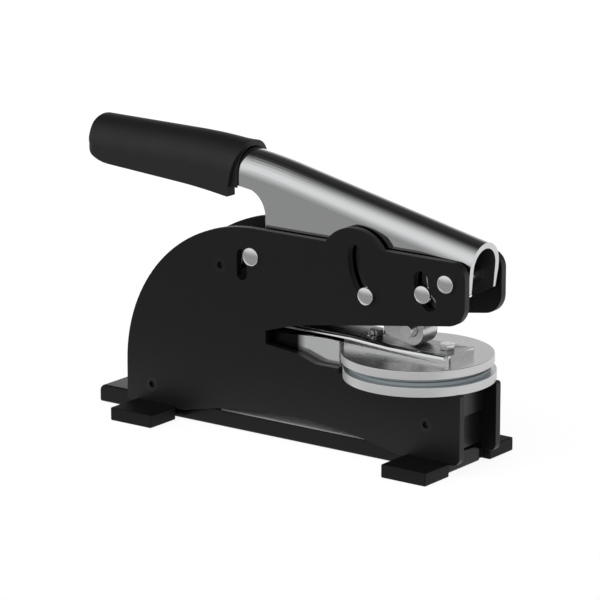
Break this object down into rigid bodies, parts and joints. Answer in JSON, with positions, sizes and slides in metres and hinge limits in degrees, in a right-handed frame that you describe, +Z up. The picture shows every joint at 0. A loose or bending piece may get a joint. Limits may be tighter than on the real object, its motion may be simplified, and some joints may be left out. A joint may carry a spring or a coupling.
{
  "type": "seal embosser",
  "caption": "Desk seal embosser with a long padded lever that drives a ram onto a removable insert with round discs, between two slotted side plates on rubber feet.",
  "frame": {"origin": "on the table under the press axis, in the middle between the side plates", "axes": "+X forwards from the press axis to the jaw, +Y to the far side plate, +Z up"},
  "size_m": [0.2375, 0.0774, 0.1503],
  "materials": {
    "plate_black": "satin black coating",
    "screw_black": "blackened steel",
    "steel_dark": "plain steel",
    "block_black": "satin black coating",
    "bar_black": "gloss black coating",
    "foot_rubber": "matt black rubber",
    "insert_chrome": "bright plating",
    "steel_bright": "bright steel",
    "disc_satin": "satin turned",
    "die_grey": "blue-grey plastic",
    "ram_steel": "ground steel",
    "lever_chrome": "mirror plating",
    "grip_rubber": "matt black rubber, faintly textured"
  },
  "bodies": {
    "frame": {"side_plate_near": "plate_black", "side_plate_far": "plate_black", "frame_screws": "screw_black", "rear_low_spacer": "steel_dark", "rear_high_spacer": "steel_dark", "anvil_block": "block_black", "base_bar": "bar_black", "foot_front_near": "foot_rubber", "foot_front_far": "foot_rubber", "foot_rear_near": "foot_rubber", "foot_rear_far": "foot_rubber", "lower_arm": "insert_chrome", "insert_block": "insert_chrome", "leaf_screw": "steel_bright", "lower_disc": "disc_satin", "lower_die": "die_grey", "pivot_pin": "steel_bright", "spring_rod": "steel_bright"},
    "handle": {"handle_channel": "lever_chrome", "handle_grip": "grip_rubber", "crank_pin": "steel_bright"},
    "ram": {"ram_link": "ram_steel", "ram_cross_pin": "steel_bright"},
    "return_link": {"return_pin": "steel_bright"},
    "spring": {"return_spring": "steel_dark"},
    "press_arm": {"upper_arm": "insert_chrome", "upper_disc": "disc_satin", "upper_die": "die_grey", "arm_bolts": "steel_bright"}
  },
  "joints": [
    {"name": "handle_swing", "type": "hinge", "parent": "frame", "child": "handle", "pos_m": [0.0284, 0, 0.0965], "axis": [0, 1, 0], "range_deg": [0, 23]},
    {"name": "ram_swing", "type": "hinge", "parent": "handle", "child": "ram", "pos_m": [0.01515, 0, 0.0894], "axis": [0, 1, 0], "range_deg": [-29, 1]},
    {"name": "return_pin_swing", "type": "hinge", "parent": "frame", "child": "return_link", "pos_m": [-0.0014, 0, 0.1015], "axis": [0, 1, 0], "range_deg": [-1, 53]},
    {"name": "spring_swing", "type": "hinge", "parent": "frame", "child": "spring", "pos_m": [-0.0895, 0, 0.0929], "axis": [0, -1, 0], "range_deg": [-1, 19], "deforming": ["return_spring"]},
    {"name": "press_arm_lift", "type": "hinge", "parent": "frame", "child": "press_arm", "pos_m": [-0.09495, 0, 0.05905], "axis": [0, -1, 0], "range_deg": [-0.1, 3]}
  ],
  "couplings": [
    {"joint": "ram_swing", "follows": "handle_swing", "ratio": -1.2},
    {"joint": "return_pin_swing", "follows": "handle_swing", "ratio": 2.248},
    {"joint": "spring_swing", "follows": "handle_swing", "ratio": 0.747},
    {"joint": "press_arm_lift", "follows": "handle_swing", "ratio": 0.115}
  ]
}
